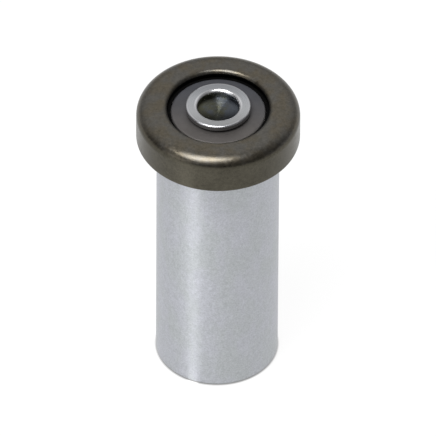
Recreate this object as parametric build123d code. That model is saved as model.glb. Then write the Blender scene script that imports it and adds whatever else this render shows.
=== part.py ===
from build123d import *
import os

# Cam follower: a plain round shank whose turned neck carries a sealed ball bearing. The bearing's
# outer race is the roller. The end of the neck is drilled and spread over the inner race to hold it.
# +Z runs along the axis from the shank to the roller, and the origin is the centre of the shank's
# free end. All lengths are in millimetres.

INCH = 25.4

# Overall sizes, which are inch sizes
OVERALL_LENGTH = 3 * INCH
SHANK_DIA = 9 / 8 * INCH
ROLLER_DIA = 3 / 2 * INCH
ROLLER_WIDTH = 3 / 8 * INCH
NECK_DIA = 1 / 2 * INCH
BALL_DIA = 5 / 32 * INCH

# Shank
SHANK_LENGTH = 65.5
SHANK_END_CHAMFER = 0.4
SHANK_SHOULDER_CHAMFER = 0.3

# Spread end of the neck, which flares out from its seat on the inner race
TIP_DIA = 15.16
TIP_SEAT_DIA = 13.7
TIP_FLARE_HEIGHT = 0.8
TIP_ABOVE_ROLLER = 0.4
TIP_OUTER_ROUND = 0.45
RECESS_DIA = 9.55
RECESS_DEPTH = 1.95
RECESS_DISH = 0.7
RECESS_ROUND = 1.0

# Outer race, with a rim rolled in over each seal. Its upper corner is a quarter of an ellipse.
CROWN_WIDTH = 3.6
CROWN_HEIGHT = 2.87
ROLLER_BOTTOM_ROUND = 0.6
RIM_BORE_DIA = 23.75
RIM_THICKNESS = 1.9
RIM_ROUND = 1.2
RIM_EDGE_BREAK = 0.15
OUTER_LAND_DIA = 27.9
SEAL_POCKET_DIA = 30.4

# Inner race
RACE_RECESS = 1.56
INNER_LAND_DIA = 22.1
INNER_EDGE_ROUND = 0.4
BORE_CHAMFER = 0.15

# Balls and their running clearances
BALL_COUNT = 12
PITCH_DIA = 25.0
GROOVE_CLEARANCE = 0.05
POCKET_CLEARANCE = 0.06

# Pressed cage, in two halves held by rivets
CAGE_INNER_DIA = 22.7
CAGE_OUTER_DIA = 27.3
CAGE_SHEET = 0.35
RIVET_DIA = 0.7
RIVET_HOLE_DIA = 0.74
RIVET_HEAD_DIA = 1.1
RIVET_HEAD_HEIGHT = 0.25

# Seals
SEAL_THICKNESS = 0.35
SEAL_DIA = 30.3
SEAL_BORE_DIA = 22.3
SEAL_LIP_CHAMFER = 0.14

# Washer between the shank's shoulder and the inner race
WASHER_DIA = 19.6
WASHER_BORE_DIA = 12.8
WASHER_CHAMFER = 0.2

# Heights worked out from the sizes above
ROLLER_TOP = OVERALL_LENGTH - TIP_ABOVE_ROLLER
ROLLER_BOTTOM = ROLLER_TOP - ROLLER_WIDTH
MID_PLANE = (ROLLER_TOP + ROLLER_BOTTOM) / 2
INNER_TOP = ROLLER_TOP - RACE_RECESS
INNER_BOTTOM = ROLLER_BOTTOM + RACE_RECESS
SEAL_TOP = ROLLER_TOP - RIM_THICKNESS
SEAL_BOTTOM = SEAL_TOP - SEAL_THICKNESS

# Radii worked out from the sizes above
BALL_R = BALL_DIA / 2
PITCH_R = PITCH_DIA / 2
GROOVE_R = BALL_R + GROOVE_CLEARANCE
POCKET_R = BALL_R + POCKET_CLEARANCE
DOME_R = POCKET_R + CAGE_SHEET


def band(inner_dia, outer_dia, bottom, top):
    """Rectangle of a half section: x is the radius and y is the height."""
    inner, outer = inner_dia / 2, outer_dia / 2
    return Pos((inner + outer) / 2, (bottom + top) / 2) * Rectangle(outer - inner, top - bottom)


def corner(section, dia, height):
    """Corner of a half section that lies at a diameter and a height."""
    return section.vertices().sort_by_distance((dia / 2, height, 0))[0]


def turned(section):
    """Solid of revolution about the part's axis."""
    return revolve(Plane.XZ * section, Axis.Z, 360)


def ball_groove():
    """Section of the ball track, cut from both races."""
    return Pos(PITCH_R, MID_PLANE) * Circle(GROOVE_R)


def around_pitch(offset=0.0):
    """Places spaced evenly round the pitch circle, turned on by a part of one spacing."""
    step = 360 / BALL_COUNT
    return [Rot(Z=(i + offset) * step) * Pos(PITCH_R, 0, MID_PLANE) for i in range(BALL_COUNT)]


def mirrored(shape):
    """The same piece on the other side of the bearing's mid-plane."""
    return mirror(shape, Plane.XY.offset(MID_PLANE))


def stud():
    """Shank, neck and the drilled end that is spread over the inner race."""
    recess_floor = OVERALL_LENGTH - RECESS_DEPTH
    section = band(0, SHANK_DIA, 0, SHANK_LENGTH)
    section += band(0, NECK_DIA, SHANK_LENGTH, INNER_TOP)
    section += band(0, TIP_DIA, INNER_TOP + TIP_FLARE_HEIGHT, OVERALL_LENGTH)
    section += Polygon(
        (0, INNER_TOP),
        (TIP_SEAT_DIA / 2, INNER_TOP),
        (TIP_DIA / 2, INNER_TOP + TIP_FLARE_HEIGHT),
        (0, INNER_TOP + TIP_FLARE_HEIGHT),
        align=None,
    )
    section -= Polygon(
        (0, recess_floor - RECESS_DISH),
        (RECESS_DIA / 2, recess_floor),
        (RECESS_DIA / 2, OVERALL_LENGTH),
        (0, OVERALL_LENGTH),
        align=None,
    )
    section = chamfer(corner(section, SHANK_DIA, 0), SHANK_END_CHAMFER)
    section = chamfer(corner(section, SHANK_DIA, SHANK_LENGTH), SHANK_SHOULDER_CHAMFER)
    section = fillet(corner(section, TIP_DIA, OVERALL_LENGTH), TIP_OUTER_ROUND)
    section = fillet(corner(section, RECESS_DIA, OVERALL_LENGTH), RECESS_ROUND)
    return turned(section)


def spacer_washer():
    """Holds the inner race off the shoulder, so that the roller turns clear of the shank."""
    section = band(WASHER_BORE_DIA, WASHER_DIA, SHANK_LENGTH, INNER_BOTTOM)
    section = chamfer(section.vertices(), WASHER_CHAMFER)
    return turned(section)


def inner_race():
    """Inner race, a tight fit on the neck."""
    section = band(NECK_DIA, INNER_LAND_DIA, INNER_BOTTOM, INNER_TOP) - ball_groove()
    section = fillet(corner(section, INNER_LAND_DIA, INNER_TOP), INNER_EDGE_ROUND)
    section = fillet(corner(section, INNER_LAND_DIA, INNER_BOTTOM), INNER_EDGE_ROUND)
    section = chamfer(corner(section, NECK_DIA, INNER_BOTTOM), BORE_CHAMFER)
    return turned(section)


def outer_race():
    """Outer race, which is the roller: tread, ball track, seal pockets and rolled rims."""
    section = band(RIM_BORE_DIA, ROLLER_DIA, ROLLER_BOTTOM, ROLLER_TOP)
    half_pocket = SEAL_TOP - MID_PLANE
    half_land = SEAL_BOTTOM - MID_PLANE
    section -= band(RIM_BORE_DIA, SEAL_POCKET_DIA, MID_PLANE + half_land, MID_PLANE + half_pocket)
    section -= band(RIM_BORE_DIA, SEAL_POCKET_DIA, MID_PLANE - half_pocket, MID_PLANE - half_land)
    section -= band(RIM_BORE_DIA, OUTER_LAND_DIA, MID_PLANE - half_land, MID_PLANE + half_land)
    section -= ball_groove()
    crown_dia = ROLLER_DIA - 2 * CROWN_WIDTH
    crown_base = ROLLER_TOP - CROWN_HEIGHT
    crown = Pos(crown_dia / 2, crown_base) * Ellipse(CROWN_WIDTH, CROWN_HEIGHT)
    section -= band(crown_dia, ROLLER_DIA, crown_base, ROLLER_TOP) - crown
    section = fillet(corner(section, ROLLER_DIA, ROLLER_BOTTOM), ROLLER_BOTTOM_ROUND)
    for side in (1, -1):
        face = MID_PLANE + side * ROLLER_WIDTH / 2
        section = fillet(corner(section, RIM_BORE_DIA, face), RIM_ROUND)
        section = chamfer(corner(section, RIM_BORE_DIA, MID_PLANE + side * half_pocket), RIM_EDGE_BREAK)
    return turned(section)


def seal():
    """Rubber seal on the roller's outer side, held by its edge, with a chamfered lip at its bore."""
    section = band(SEAL_BORE_DIA, SEAL_DIA, SEAL_BOTTOM, SEAL_TOP)
    section = chamfer(corner(section, SEAL_BORE_DIA, SEAL_BOTTOM), SEAL_LIP_CHAMFER)
    return turned(section)


def cage_half():
    """Upper half of the cage: a flat web between domes that each cover half a ball."""
    web = turned(band(CAGE_INNER_DIA, CAGE_OUTER_DIA, MID_PLANE, MID_PLANE + CAGE_SHEET))
    limits = turned(band(CAGE_INNER_DIA, CAGE_OUTER_DIA, MID_PLANE, MID_PLANE + DOME_R))
    half = web
    for place in around_pitch():
        half += (place * Sphere(DOME_R)) & limits
    for place in around_pitch():
        half -= place * Sphere(POCKET_R)
    for place in around_pitch(offset=0.5):
        half -= place * Cylinder(RIVET_HOLE_DIA / 2, 4 * CAGE_SHEET)
    return half


def cage_rivets():
    """Headed rivets through both webs, one between each pair of balls."""
    rivets = []
    for place in around_pitch(offset=0.5):
        head_offset = CAGE_SHEET + RIVET_HEAD_HEIGHT / 2
        rivet = Cylinder(RIVET_DIA / 2, 2 * CAGE_SHEET)
        rivet += Pos(0, 0, head_offset) * Cylinder(RIVET_HEAD_DIA / 2, RIVET_HEAD_HEIGHT)
        rivet += Pos(0, 0, -head_offset) * Cylinder(RIVET_HEAD_DIA / 2, RIVET_HEAD_HEIGHT)
        head_rims = rivet.edges().group_by(Axis.Z)[0] + rivet.edges().group_by(Axis.Z)[-1]
        rivets.append(place * fillet(head_rims, RIVET_HEAD_HEIGHT * 0.6))
    return Compound(children=rivets)


def balls():
    """Steel balls, one in each cage pocket."""
    return [place * Sphere(BALL_R) for place in around_pitch()]


def main():
    os.makedirs("parts", exist_ok=True)
    upper_cage = cage_half()
    upper_seal = seal()
    nodes = {
        "stud": stud(),
        "spacer_washer": spacer_washer(),
        "inner_race": inner_race(),
        "outer_race": outer_race(),
        "cage_upper": upper_cage,
        "cage_lower": mirrored(upper_cage),
        "cage_rivets": cage_rivets(),
        "upper_seal": upper_seal,
        "lower_seal": mirrored(upper_seal),
    }
    for number, ball in enumerate(balls(), start=1):
        nodes[f"ball_{number:02d}"] = ball
    for name, shape in nodes.items():
        export_step(shape, f"parts/{name}.step")


main()
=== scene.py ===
import math

import bpy
from mathutils import Matrix, Vector


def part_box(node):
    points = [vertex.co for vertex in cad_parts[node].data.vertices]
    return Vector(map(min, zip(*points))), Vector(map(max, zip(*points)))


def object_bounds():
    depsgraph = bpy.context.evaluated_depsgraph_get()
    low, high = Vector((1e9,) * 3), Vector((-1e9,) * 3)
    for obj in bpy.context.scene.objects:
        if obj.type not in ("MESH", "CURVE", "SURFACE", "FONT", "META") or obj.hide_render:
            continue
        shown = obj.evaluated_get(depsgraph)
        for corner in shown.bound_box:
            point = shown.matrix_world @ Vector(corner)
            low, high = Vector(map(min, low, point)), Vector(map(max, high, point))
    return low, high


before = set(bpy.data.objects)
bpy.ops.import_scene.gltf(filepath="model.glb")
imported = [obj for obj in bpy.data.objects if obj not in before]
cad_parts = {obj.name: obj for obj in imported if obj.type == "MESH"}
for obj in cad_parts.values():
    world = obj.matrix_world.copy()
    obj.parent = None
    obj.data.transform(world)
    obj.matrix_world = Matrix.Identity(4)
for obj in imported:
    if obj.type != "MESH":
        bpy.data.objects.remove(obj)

# The looks of a cam follower: materials for each CAD piece, a pale floor, soft light and a camera.
# Lengths are in metres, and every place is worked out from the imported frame.

MM = 0.001

cad_low, cad_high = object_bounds()
HEIGHT = cad_high.z - cad_low.z

# Heights and radii that the materials use to tell one surface of a piece from another
stud_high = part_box("stud")[1]
roller_low, roller_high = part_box("outer_race")
SHANK_R = stud_high.x
TOP_Z = stud_high.z
SHOULDER_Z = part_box("spacer_washer")[0].z
ROLLER_R = roller_high.x
ROLLER_MID_Z = (roller_low.z + roller_high.z) / 2
ROLLER_HALF = (roller_high.z - roller_low.z) / 2
RIM_INSIDE_R = 15.2 * MM
RECESS_R = 4.8 * MM
TIP_R = 7.58 * MM

# Light given off by the floor: evenly everywhere, and as painted light in the beam and in the wider patch at
# the beam's far end
FLOOR_GLOW = 0.92
BEAM_GLOW = 0.6
WIDE_GLOW = 0.1

# Where the beam starts, a little off the axis, and the floor's half width
BEAM_START_X = -0.8 * MM
BEAM_START_Y = -8.5 * MM
FLOOR_HALF = 4.0

# Camera: far off with a long lens, so that parallel edges stay parallel
VIEW_ELEVATION = math.radians(43.2)
VIEW_ROLL = math.radians(0.35)
VIEW_LENS = 1500.0
SENSOR = 36.0
FRAME_SPAN = 1.335 * HEIGHT
AIM_Z = 0.5276 * HEIGHT
AIM_X = 0.0001


class Shader:
    """Short calls that build one material's nodes. Sockets and plain numbers can both be passed in."""

    def __init__(self, name):
        self.material = bpy.data.materials.new(name)
        self.material.use_nodes = True
        self.tree = self.material.node_tree
        self.tree.nodes.clear()
        self.output = self.node("ShaderNodeOutputMaterial")
        self.surface = self.node("ShaderNodeBsdfPrincipled")
        self.link(self.surface.outputs["BSDF"], self.output.inputs["Surface"])
        self.place = self.node("ShaderNodeTexCoord").outputs["Object"]
        split = self.node("ShaderNodeSeparateXYZ")
        self.link(self.place, split.inputs[0])
        self.x, self.y, self.z = split.outputs
        across = self.math("ADD", self.math("POWER", self.x, 2), self.math("POWER", self.y, 2))
        self.radius = self.math("SQRT", across)

    def node(self, kind, **settings):
        made = self.tree.nodes.new(kind)
        for name, value in settings.items():
            setattr(made, name, value)
        return made

    def link(self, source, target):
        if hasattr(source, "is_output"):
            self.tree.links.new(source, target)
        else:
            target.default_value = source

    def math(self, operation, a, b=0.0):
        made = self.node("ShaderNodeMath", operation=operation)
        self.link(a, made.inputs[0])
        self.link(b, made.inputs[1])
        return made.outputs[0]

    def ramp(self, value, low, high, out_low=0.0, out_high=1.0):
        """value between low and high, smoothly stretched to run from out_low to out_high."""
        made = self.node("ShaderNodeMapRange", interpolation_type="SMOOTHSTEP")
        self.link(value, made.inputs["Value"])
        for name, number in zip(("From Min", "From Max", "To Min", "To Max"), (low, high, out_low, out_high)):
            self.link(number, made.inputs[name])
        return made.outputs[0]

    def between(self, value, low, high, soft):
        """1 where value lies from low to high, falling to 0 over the distance soft outside it."""
        rise = self.ramp(value, low - soft, low)
        fall = self.ramp(value, high, high + soft, 1.0, 0.0)
        return self.math("MULTIPLY", rise, fall)

    def stretched(self, along_x=1.0, along_y=1.0, along_z=1.0):
        """Place scaled along each axis: a scale under 1 draws noise out that way."""
        made = self.node("ShaderNodeMapping")
        self.link(self.place, made.inputs["Vector"])
        made.inputs["Scale"].default_value = (along_x, along_y, along_z)
        return made.outputs[0]

    def polar(self, turns=1.0):
        """Place as angle round the axis, radius and height, for marks that follow the lathe's turning."""
        angle = self.math("ARCTAN2", self.y, self.x)
        joined = self.node("ShaderNodeCombineXYZ")
        self.link(self.math("MULTIPLY", angle, turns), joined.inputs[0])
        self.link(self.radius, joined.inputs[1])
        self.link(self.z, joined.inputs[2])
        return joined.outputs[0]

    def noise(self, feature, detail=4.0, rough=0.55, place=None):
        """Noise whose blobs are about feature metres across, from 0 to 1."""
        made = self.node("ShaderNodeTexNoise")
        self.link(self.place if place is None else place, made.inputs["Vector"])
        made.inputs["Scale"].default_value = 1.0 / feature
        made.inputs["Detail"].default_value = detail
        made.inputs["Roughness"].default_value = rough
        return made.outputs["Fac"]

    def mix(self, share, a, b):
        made = self.node("ShaderNodeMix", data_type="RGBA")
        self.link(share, made.inputs["Factor"])
        for socket, colour in ((made.inputs["A"], a), (made.inputs["B"], b)):
            self.link(colour if hasattr(colour, "is_output") else (*colour, 1.0), socket)
        return made.outputs["Result"]

    def shade(self, colour, factor):
        """colour made darker or lighter by a factor that may vary over the surface."""
        made = self.node("ShaderNodeVectorMath", operation="SCALE")
        self.link(colour if hasattr(colour, "is_output") else tuple(colour), made.inputs[0])
        self.link(factor, made.inputs["Scale"])
        return made.outputs[0]

    def bump(self, height, depth, under=None):
        """Surface relief: height from 0 to 1 stands for depth metres."""
        made = self.node("ShaderNodeBump")
        made.inputs["Strength"].default_value = 1.0
        made.inputs["Distance"].default_value = depth
        self.link(height, made.inputs["Height"])
        if under is not None:
            self.link(under, made.inputs["Normal"])
        return made.outputs[0]

    def turned_lay(self, share):
        """Marks of turning, which run round the axis and spread highlights out across themselves."""
        lay = self.node("ShaderNodeTangent", direction_type="RADIAL", axis="Z")
        self.link(lay.outputs[0], self.surface.inputs["Tangent"])
        self.link(share, self.surface.inputs["Anisotropic"])
        self.surface.inputs["Anisotropic Rotation"].default_value = 0.25

    def finish(self, colour, roughness, normal=None, **fixed):
        self.link(colour, self.surface.inputs["Base Color"])
        self.link(roughness, self.surface.inputs["Roughness"])
        if normal is not None:
            self.link(normal, self.surface.inputs["Normal"])
        for name, value in fixed.items():
            self.surface.inputs[name.replace("_", " ")].default_value = value
        return self.material


def zinc_plated_stud():
    """Satin zinc on the shank, and bright turned steel on the spread end with painted shade: lighter at the
    front than the back, and lighter at the sides than toward front and back. The recess is painted near black
    as shade, darker toward its front and lighter toward its back.
    """
    s = Shader("zinc_plated_stud")
    speckle = s.noise(0.35 * MM, detail=2.0)
    cloud = s.noise(5.0 * MM, detail=3.0, place=s.stretched(1.0, 1.0, 0.5))
    mottle = s.noise(1.1 * MM, detail=4.0, rough=0.65)
    tone = s.math("ADD", s.ramp(speckle, 0.3, 0.7, -0.10, 0.10), s.ramp(mottle, 0.3, 0.7, 0.92, 1.08))
    zinc = s.shade(s.mix(s.ramp(cloud, 0.35, 0.65), (0.495, 0.507, 0.545), (0.47, 0.49, 0.505)), tone)

    on_top = s.ramp(s.z, SHOULDER_Z + 2 * MM, SHOULDER_Z + 2.5 * MM)
    rings = s.noise(0.2 * MM, detail=2.0, place=s.polar(turns=0.0002))
    # Painted shade: the end is coloured lighter at the front and darker, bluer at the back.
    tip_with_painted_shade = s.mix(s.ramp(s.y, -TIP_R, TIP_R), (0.39, 0.395, 0.40), (0.33, 0.34, 0.36))
    tip_with_painted_shade = s.shade(tip_with_painted_shade, s.ramp(rings, 0.3, 0.7, 0.94, 1.06))
    # Painted shade: the end is coloured lighter at the sides and darker toward front and back.
    tip_with_painted_shade = s.shade(tip_with_painted_shade, s.ramp(s.math("ABSOLUTE", s.y), 1 * MM, TIP_R - 0.7 * MM, 1.12, 0.82))
    inner_edge = s.ramp(s.radius, RECESS_R + 0.5 * MM, RECESS_R + 0.9 * MM, 1.0, 0.0)
    outer_edge = s.ramp(s.radius, TIP_R - 0.6 * MM, TIP_R - 0.3 * MM)
    outer_edge = s.math("MULTIPLY", outer_edge, s.ramp(s.z, TOP_Z - 0.5 * MM, TOP_Z - 0.3 * MM))
    tip_with_painted_shade = s.mix(outer_edge, s.mix(inner_edge, tip_with_painted_shade, (0.74, 0.74, 0.76)), (0.5, 0.5, 0.52))

    in_recess = s.ramp(s.radius, RECESS_R, RECESS_R + 0.25 * MM, 1.0, 0.0)
    in_recess = s.math("MULTIPLY", in_recess, on_top)
    # Painted shade: the recess is coloured near black, as the shade inside it, with blotches and a tint from
    # olive on the left to blue-grey on the right.
    blotch_and_side_tint = s.math("ADD", s.noise(2.6 * MM, detail=2.0), s.math("DIVIDE", s.x, 18 * MM))
    recess_painted_shade = s.mix(s.ramp(blotch_and_side_tint, 0.3, 0.7), (0.054, 0.054, 0.038), (0.056, 0.062, 0.072))
    # Painted shade toward the front of the recess and painted light toward its back.
    recess_painted_shade = s.shade(recess_painted_shade, s.ramp(s.y, -3.0 * MM, 3.5 * MM, 0.25, 2.1))

    colour = s.mix(on_top, zinc, tip_with_painted_shade)
    colour = s.mix(in_recess, colour, recess_painted_shade)
    on_shank = s.math("SUBTRACT", 1.0, on_top)
    rough_zinc = s.ramp(mottle, 0.25, 0.75, 0.40, 0.50)
    rough_tip = s.ramp(rings, 0.3, 0.7, 0.26, 0.34)
    roughness = s.math("ADD", s.math("MULTIPLY", rough_zinc, on_shank), s.math("MULTIPLY", rough_tip, on_top))
    normal = s.bump(speckle, 0.006 * MM)
    tool_marks = s.noise(0.45 * MM, detail=1.0, place=s.polar(turns=0.0004))
    normal = s.bump(s.math("MULTIPLY", tool_marks, in_recess), 0.03 * MM, under=normal)
    s.turned_lay(s.math("MAXIMUM", s.math("MULTIPLY", on_shank, 0.7), s.math("MULTIPLY", in_recess, 0.95)))
    return s.finish(colour, roughness, normal, Metallic=1.0)


def roller_steel():
    """Dark bronze-grey bearing steel, with painted shade: the tread is coloured darker than the faces, and
    the walls inside the rims almost black.
    """
    s = Shader("roller_steel")
    cloud = s.noise(4.0 * MM, detail=4.0)
    mottle = s.noise(0.8 * MM, detail=4.0, rough=0.6)
    grain = s.noise(0.35 * MM, detail=3.0)
    tone = s.math("ADD", s.ramp(cloud, 0.3, 0.7, -0.08, 0.08), s.ramp(mottle, 0.3, 0.7, 0.88, 1.12))
    tone = s.math("MULTIPLY", tone, s.ramp(grain, 0.3, 0.7, 0.9, 1.1))
    steel = s.shade(s.mix(s.ramp(cloud, 0.35, 0.65), (0.116, 0.102, 0.078), (0.102, 0.097, 0.087)), tone)
    # Painted shade: the tread, the roller's side, is coloured darker than its faces.
    tread_painted_shade = s.ramp(s.radius, ROLLER_R - 0.5 * MM, ROLLER_R - 0.1 * MM)
    steel = s.mix(tread_painted_shade, steel, s.shade((0.074, 0.068, 0.052), tone))
    mid_height = s.math("ABSOLUTE", s.math("SUBTRACT", s.z, ROLLER_MID_Z))
    # Painted shade: the bore walls just under the rims are coloured almost black.
    near_bore = s.ramp(s.radius, RIM_INSIDE_R, RIM_INSIDE_R + 0.3 * MM, 1.0, 0.0)
    rim_wall_painted_shade = s.between(mid_height, ROLLER_HALF - 1.95 * MM, ROLLER_HALF - 1.0 * MM, 0.35 * MM)
    colour = s.mix(s.math("MULTIPLY", near_bore, rim_wall_painted_shade), steel, (0.004, 0.004, 0.004))
    roughness = s.math("ADD", s.ramp(mottle, 0.25, 0.75, 0.29, 0.38), s.ramp(cloud, 0.3, 0.7, -0.03, 0.03))
    return s.finish(colour, roughness, s.bump(grain, 0.005 * MM), Metallic=1.0)


def race_steel():
    """Grey hardened steel, dulled by its heat treatment, with the fine rings of a faced surface, and painted
    shade that makes it darker and bluer toward the back.
    """
    s = Shader("race_steel")
    rings = s.noise(0.2 * MM, detail=2.0, place=s.polar(turns=0.0002))
    cloud = s.noise(2.5 * MM, detail=3.0)
    tone = s.math("ADD", s.ramp(rings, 0.3, 0.7, 0.96, 1.04), s.ramp(cloud, 0.3, 0.7, -0.07, 0.07))
    # Painted shade: the colour grows darker and bluer toward the back.
    tint = s.mix(s.ramp(s.y, -9 * MM, 9 * MM), (0.105, 0.097, 0.092), (0.060, 0.062, 0.072))
    colour = s.shade(tint, tone)
    return s.finish(colour, s.ramp(rings, 0.3, 0.7, 0.5, 0.6), s.bump(rings, 0.0015 * MM), Metallic=0.6)


def washer_steel():
    """Plain turned steel washer."""
    s = Shader("washer_steel")
    rings = s.noise(0.2 * MM, detail=3.0, place=s.polar(turns=0.0003))
    cloud = s.noise(2.0 * MM)
    tint = s.mix(cloud, (0.52, 0.52, 0.51), (0.46, 0.46, 0.46))
    colour = s.shade(tint, s.ramp(rings, 0.3, 0.7, 0.92, 1.06))
    return s.finish(colour, s.ramp(rings, 0.3, 0.7, 0.3, 0.42), s.bump(rings, 0.003 * MM), Metallic=1.0)


def ball_steel():
    """Polished ball with a faint film of grease."""
    s = Shader("ball_steel")
    film = s.noise(1.1 * MM, detail=3.0)
    colour = s.mix(s.ramp(film, 0.4, 0.7), (0.66, 0.665, 0.68), (0.52, 0.50, 0.44))
    return s.finish(colour, s.ramp(film, 0.35, 0.7, 0.07, 0.2), Metallic=1.0)


def cage_steel():
    """Pressed sheet steel, with drawing marks and a trace of oil."""
    s = Shader("cage_steel")
    grain = s.noise(0.3 * MM, detail=4.0)
    film = s.noise(1.6 * MM, detail=3.0)
    colour = s.mix(s.ramp(film, 0.35, 0.7), (0.5, 0.49, 0.47), (0.36, 0.34, 0.29))
    return s.finish(colour, s.ramp(grain, 0.3, 0.7, 0.3, 0.45), s.bump(grain, 0.004 * MM), Metallic=1.0)


def rivet_steel():
    """Bright headed rivets."""
    s = Shader("rivet_steel")
    grain = s.noise(0.12 * MM, detail=3.0)
    colour = s.mix(grain, (0.6, 0.6, 0.6), (0.5, 0.5, 0.49))
    return s.finish(colour, s.ramp(grain, 0.3, 0.7, 0.25, 0.4), s.bump(grain, 0.002 * MM), Metallic=1.0)


def seal_rubber():
    """Black moulded rubber with a fine matt grain and a dusting of grey, coloured far darker than rubber as
    painted shade in the gap between the races.
    """
    s = Shader("seal_rubber")
    grain = s.noise(0.12 * MM, detail=4.0)
    dust = s.noise(1.4 * MM, detail=4.0)
    # Painted shade: near black, far darker than rubber, standing for the shade in the gap between the races.
    colour = s.mix(s.ramp(dust, 0.5, 0.8), (0.002, 0.002, 0.002), (0.005, 0.0045, 0.004))
    return s.finish(colour, s.ramp(grain, 0.3, 0.7, 0.55, 0.75), s.bump(grain, 0.006 * MM),
                    Specular_IOR_Level=0.03)


def dress():
    """Gives each CAD piece its material."""
    zinc, roller, race, washer = zinc_plated_stud(), roller_steel(), race_steel(), washer_steel()
    ball, cage, rivet, rubber = ball_steel(), cage_steel(), rivet_steel(), seal_rubber()
    looks = {
        "stud": zinc,
        "outer_race": roller,
        "inner_race": race,
        "spacer_washer": washer,
        "cage_upper": cage,
        "cage_lower": cage,
        "cage_rivets": rivet,
        "upper_seal": rubber,
        "lower_seal": rubber,
    }
    for name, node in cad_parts.items():
        node.data.materials.clear()
        node.data.materials.append(looks.get(name, ball))


def floor():
    """Pale paper floor that glows a little, with painted light in a glowing beam that runs out to the front
    left and a wider glowing patch at its far end, and a painted shadow in a thin ring round the foot of the
    shank.
    """
    mesh = bpy.data.meshes.new("floor")
    signs = ((-1, -1), (1, -1), (1, 1), (-1, 1))
    corners = [(x * FLOOR_HALF, y * FLOOR_HALF) for x, y in signs]
    mesh.from_pydata([(x, y, cad_low.z) for x, y in corners], [], [(0, 1, 2, 3)])
    plane = bpy.data.objects.new("floor", mesh)
    bpy.context.scene.collection.objects.link(plane)
    s = Shader("floor_paper")
    from_x = s.math("SUBTRACT", s.x, BEAM_START_X)
    from_y = s.math("SUBTRACT", s.y, BEAM_START_Y)
    along = s.math("MULTIPLY", s.math("ADD", from_x, from_y), -math.sqrt(0.5))
    across = s.math("ABSOLUTE", s.math("MULTIPLY", s.math("SUBTRACT", from_x, from_y), math.sqrt(0.5)))
    spread = s.math("DIVIDE", across, s.math("MAXIMUM", along, 0.1 * MM))
    # Painted light: a glowing beam on the floor out to the front left, and a wider glowing patch at its far
    # end.
    painted_light_beam = s.math("MULTIPLY", s.ramp(spread, 0.08, 0.26, BEAM_GLOW, 0.0), s.ramp(along, 0.5 * MM, 3 * MM))
    painted_light_patch = s.math("MULTIPLY", s.ramp(spread, 0.3, 1.6, WIDE_GLOW, 0.0), s.ramp(along, 45 * MM, 80 * MM))
    glow = s.math("ADD", s.math("ADD", painted_light_beam, painted_light_patch), FLOOR_GLOW)
    # Painted shadow: the glow falls to a quarter in a thin ring round the foot of the shank.
    glow = s.math("MULTIPLY", glow, s.ramp(s.radius, SHANK_R - 0.3 * MM, SHANK_R + 0.5 * MM, 0.25, 1.0))
    s.surface.inputs["Emission Color"].default_value = (1.0, 1.0, 1.0, 1.0)
    s.link(glow, s.surface.inputs["Emission Strength"])
    mesh.materials.append(s.finish((0.1, 0.1, 0.1, 1.0), 0.9))


def softbox(name, direction, along, distance, length, breadth, power):
    """Rectangular light, long side along a direction, that shines at the object's middle."""
    light = bpy.data.lights.new(name, "AREA")
    light.shape = "RECTANGLE"
    light.size, light.size_y = length, breadth
    light.energy = power
    lamp = bpy.data.objects.new(name, light)
    way = Vector(direction).normalized()
    side = Vector(along)
    side = (side - side.project(way)).normalized()
    turn = Matrix((side, way.cross(side), way)).transposed().to_4x4()
    lamp.matrix_world = Matrix.Translation(Vector((0, 0, HEIGHT / 2)) + way * distance) @ turn
    bpy.context.scene.collection.objects.link(lamp)


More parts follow.
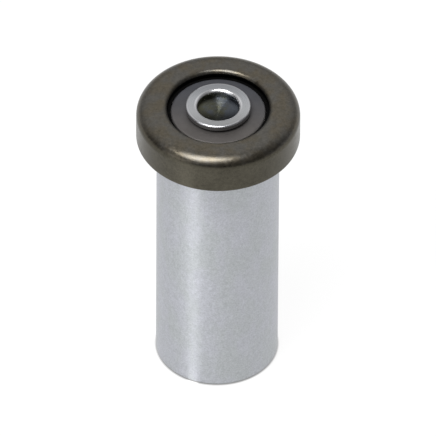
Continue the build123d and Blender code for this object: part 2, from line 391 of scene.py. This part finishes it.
def sky():
    """Soft surroundings: bright high up behind the object, dimmer to the front, white beyond the floor."""
    world = bpy.data.worlds.new("studio")
    bpy.context.scene.world = world
    world.use_nodes = True
    tree = world.node_tree
    tree.nodes.clear()
    output = tree.nodes.new("ShaderNodeOutputWorld")
    background = tree.nodes.new("ShaderNodeBackground")
    place = tree.nodes.new("ShaderNodeTexCoord")
    split = tree.nodes.new("ShaderNodeSeparateXYZ")
    both = tree.nodes.new("ShaderNodeMath")
    both.operation = "MULTIPLY"
    tree.links.new(place.outputs["Generated"], split.inputs[0])
    slopes = (("Y", 0.0, 0.65, 0.25, 1.2), ("Z", 0.3, 0.62, 0.5, 1.0))
    for number, (axis, low, high, dim, bright) in enumerate(slopes):
        slope = tree.nodes.new("ShaderNodeMapRange")
        slope.interpolation_type = "SMOOTHSTEP"
        slope.inputs["From Min"].default_value = low
        slope.inputs["From Max"].default_value = high
        slope.inputs["To Min"].default_value = dim
        slope.inputs["To Max"].default_value = bright
        tree.links.new(split.outputs[axis], slope.inputs["Value"])
        tree.links.new(slope.outputs[0], both.inputs[number])
    below = tree.nodes.new("ShaderNodeMapRange")
    below.inputs["From Min"].default_value = 0.02
    below.inputs["From Max"].default_value = 0.03
    below.inputs["To Min"].default_value = 1.3
    below.inputs["To Max"].default_value = 0.0
    either = tree.nodes.new("ShaderNodeMath")
    either.operation = "MAXIMUM"
    tree.links.new(split.outputs["Z"], below.inputs["Value"])
    tree.links.new(both.outputs[0], either.inputs[0])
    tree.links.new(below.outputs[0], either.inputs[1])
    tree.links.new(either.outputs[0], background.inputs["Strength"])
    tree.links.new(background.outputs[0], output.inputs["Surface"])


def camera():
    data = bpy.data.cameras.new("camera")
    data.lens, data.sensor_width = VIEW_LENS, SENSOR
    distance = FRAME_SPAN * VIEW_LENS / SENSOR
    data.clip_start, data.clip_end = 0.1, 4 * distance
    eye = bpy.data.objects.new("camera", data)
    back = Vector((0, -math.cos(VIEW_ELEVATION), math.sin(VIEW_ELEVATION)))
    turn = back.to_track_quat("Z", "Y").to_matrix().to_4x4()
    aim = Vector((AIM_X, 0, AIM_Z))
    eye.matrix_world = Matrix.Translation(aim + back * distance) @ turn @ Matrix.Rotation(VIEW_ROLL, 4, "Z")
    bpy.context.scene.collection.objects.link(eye)
    bpy.context.scene.camera = eye


dress()
floor()
sky()
softbox("overhead", (-0.20, -0.30, 0.93), (1, 0.5, 0), 0.6, 0.38, 0.25, 3.4)
softbox("left", (-0.76, -0.58, 0.34), (0, 0, 1), 0.6, 0.3, 0.3, 0.3)
camera()
bpy.context.scene.view_settings.view_transform = "Standard"
